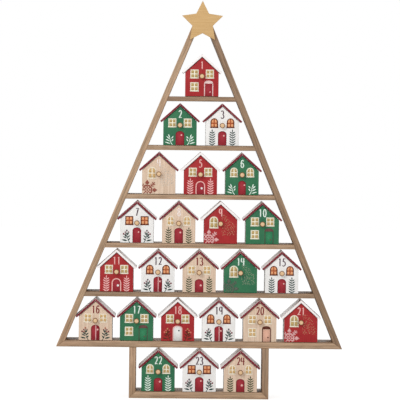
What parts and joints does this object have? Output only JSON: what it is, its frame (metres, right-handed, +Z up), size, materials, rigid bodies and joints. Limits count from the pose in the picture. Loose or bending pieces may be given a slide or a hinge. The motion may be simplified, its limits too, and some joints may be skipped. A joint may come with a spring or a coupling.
{
  "type": "advent calendar",
  "caption": "Tree-shaped wooden advent calendar: an A-frame of shelves on a box trunk, filled with gabled houses whose painted fronts are drawers with turned knobs, and a star at the peak.",
  "frame": {"origin": "middle of the trunk base's underside, the face that the calendar stands on", "axes": "+Z up through the peak, +X to the right as the fronts are seen, -Y out of the drawer fronts"},
  "size_m": [0.4298, 0.0715, 0.5967],
  "materials": {
    "frame_wood": "stained pine, satin",
    "star_paint": "plywood, matt gold stain",
    "case_paint": "white paint, satin",
    "front_red": "red paint, satin",
    "front_green": "green paint, satin",
    "front_white": "white paint, satin",
    "front_beige": "plywood, clear matt varnish"
  },
  "bodies": {
    "tree": {"right_rail": "frame_wood", "left_rail": "frame_wood", "foot_board": "frame_wood", "trunk_right": "frame_wood", "trunk_left": "frame_wood", "trunk_base": "frame_wood", "star": "star_paint", "shelf_1": "frame_wood", "house_01_case": "case_paint", "shelf_2": "frame_wood", "house_02_case": "case_paint", "house_03_case": "case_paint", "shelf_3": "frame_wood", "house_04_case": "case_paint", "house_05_case": "case_paint", "house_06_case": "case_paint", "shelf_4": "frame_wood", "house_07_case": "case_paint", "house_08_case": "case_paint", "house_09_case": "case_paint", "house_10_case": "case_paint", "shelf_5": "frame_wood", "house_11_case": "case_paint", "house_12_case": "case_paint", "house_13_case": "case_paint", "house_14_case": "case_paint", "house_15_case": "case_paint", "house_16_case": "case_paint", "house_17_case": "case_paint", "house_18_case": "case_paint", "house_19_case": "case_paint", "house_20_case": "case_paint", "house_21_case": "case_paint", "house_22_case": "case_paint", "house_23_case": "case_paint", "house_24_case": "case_paint"},
    "drawer_01": {"house_01_drawer": "front_red"},
    "drawer_02": {"house_02_drawer": "front_green"},
    "drawer_03": {"house_03_drawer": "front_white"},
    "drawer_04": {"house_04_drawer": "front_beige"},
    "drawer_05": {"house_05_drawer": "front_red"},
    "drawer_06": {"house_06_drawer": "front_green"},
    "drawer_07": {"house_07_drawer": "front_white"},
    "drawer_08": {"house_08_drawer": "front_beige"},
    "drawer_09": {"house_09_drawer": "front_red"},
    "drawer_10": {"house_10_drawer": "front_green"},
    "drawer_11": {"house_11_drawer": "front_red"},
    "drawer_12": {"house_12_drawer": "front_white"},
    "drawer_13": {"house_13_drawer": "front_beige"},
    "drawer_14": {"house_14_drawer": "front_green"},
    "drawer_15": {"house_15_drawer": "front_white"},
    "drawer_16": {"house_16_drawer": "front_beige"},
    "drawer_17": {"house_17_drawer": "front_green"},
    "drawer_18": {"house_18_drawer": "front_red"},
    "drawer_19": {"house_19_drawer": "front_white"},
    "drawer_20": {"house_20_drawer": "front_beige"},
    "drawer_21": {"house_21_drawer": "front_red"},
    "drawer_22": {"house_22_drawer": "front_green"},
    "drawer_23": {"house_23_drawer": "front_white"},
    "drawer_24": {"house_24_drawer": "front_beige"}
  },
  "joints": [
    {"name": "drawer_01_slide", "type": "slide", "parent": "tree", "child": "drawer_01", "axis": [0, -1, 0], "range_m": [0, 0.045]},
    {"name": "drawer_02_slide", "type": "slide", "parent": "tree", "child": "drawer_02", "axis": [0, -1, 0], "range_m": [0, 0.045]},
    {"name": "drawer_03_slide", "type": "slide", "parent": "tree", "child": "drawer_03", "axis": [0, -1, 0], "range_m": [0, 0.045]},
    {"name": "drawer_04_slide", "type": "slide", "parent": "tree", "child": "drawer_04", "axis": [0, -1, 0], "range_m": [0, 0.045]},
    {"name": "drawer_05_slide", "type": "slide", "parent": "tree", "child": "drawer_05", "axis": [0, -1, 0], "range_m": [0, 0.045]},
    {"name": "drawer_06_slide", "type": "slide", "parent": "tree", "child": "drawer_06", "axis": [0, -1, 0], "range_m": [0, 0.045]},
    {"name": "drawer_07_slide", "type": "slide", "parent": "tree", "child": "drawer_07", "axis": [0, -1, 0], "range_m": [0, 0.045]},
    {"name": "drawer_08_slide", "type": "slide", "parent": "tree", "child": "drawer_08", "axis": [0, -1, 0], "range_m": [0, 0.045]},
    {"name": "drawer_09_slide", "type": "slide", "parent": "tree", "child": "drawer_09", "axis": [0, -1, 0], "range_m": [0, 0.045]},
    {"name": "drawer_10_slide", "type": "slide", "parent": "tree", "child": "drawer_10", "axis": [0, -1, 0], "range_m": [0, 0.045]},
    {"name": "drawer_11_slide", "type": "slide", "parent": "tree", "child": "drawer_11", "axis": [0, -1, 0], "range_m": [0, 0.045]},
    {"name": "drawer_12_slide", "type": "slide", "parent": "tree", "child": "drawer_12", "axis": [0, -1, 0], "range_m": [0, 0.045]},
    {"name": "drawer_13_slide", "type": "slide", "parent": "tree", "child": "drawer_13", "axis": [0, -1, 0], "range_m": [0, 0.045]},
    {"name": "drawer_14_slide", "type": "slide", "parent": "tree", "child": "drawer_14", "axis": [0, -1, 0], "range_m": [0, 0.045]},
    {"name": "drawer_15_slide", "type": "slide", "parent": "tree", "child": "drawer_15", "axis": [0, -1, 0], "range_m": [0, 0.045]},
    {"name": "drawer_16_slide", "type": "slide", "parent": "tree", "child": "drawer_16", "axis": [0, -1, 0], "range_m": [0, 0.045]},
    {"name": "drawer_17_slide", "type": "slide", "parent": "tree", "child": "drawer_17", "axis": [0, -1, 0], "range_m": [0, 0.045]},
    {"name": "drawer_18_slide", "type": "slide", "parent": "tree", "child": "drawer_18", "axis": [0, -1, 0], "range_m": [0, 0.045]},
    {"name": "drawer_19_slide", "type": "slide", "parent": "tree", "child": "drawer_19", "axis": [0, -1, 0], "range_m": [0, 0.045]},
    {"name": "drawer_20_slide", "type": "slide", "parent": "tree", "child": "drawer_20", "axis": [0, -1, 0], "range_m": [0, 0.045]},
    {"name": "drawer_21_slide", "type": "slide", "parent": "tree", "child": "drawer_21", "axis": [0, -1, 0], "range_m": [0, 0.045]},
    {"name": "drawer_22_slide", "type": "slide", "parent": "tree", "child": "drawer_22", "axis": [0, -1, 0], "range_m": [0, 0.045]},
    {"name": "drawer_23_slide", "type": "slide", "parent": "tree", "child": "drawer_23", "axis": [0, -1, 0], "range_m": [0, 0.045]},
    {"name": "drawer_24_slide", "type": "slide", "parent": "tree", "child": "drawer_24", "axis": [0, -1, 0], "range_m": [0, 0.045]}
  ]
}
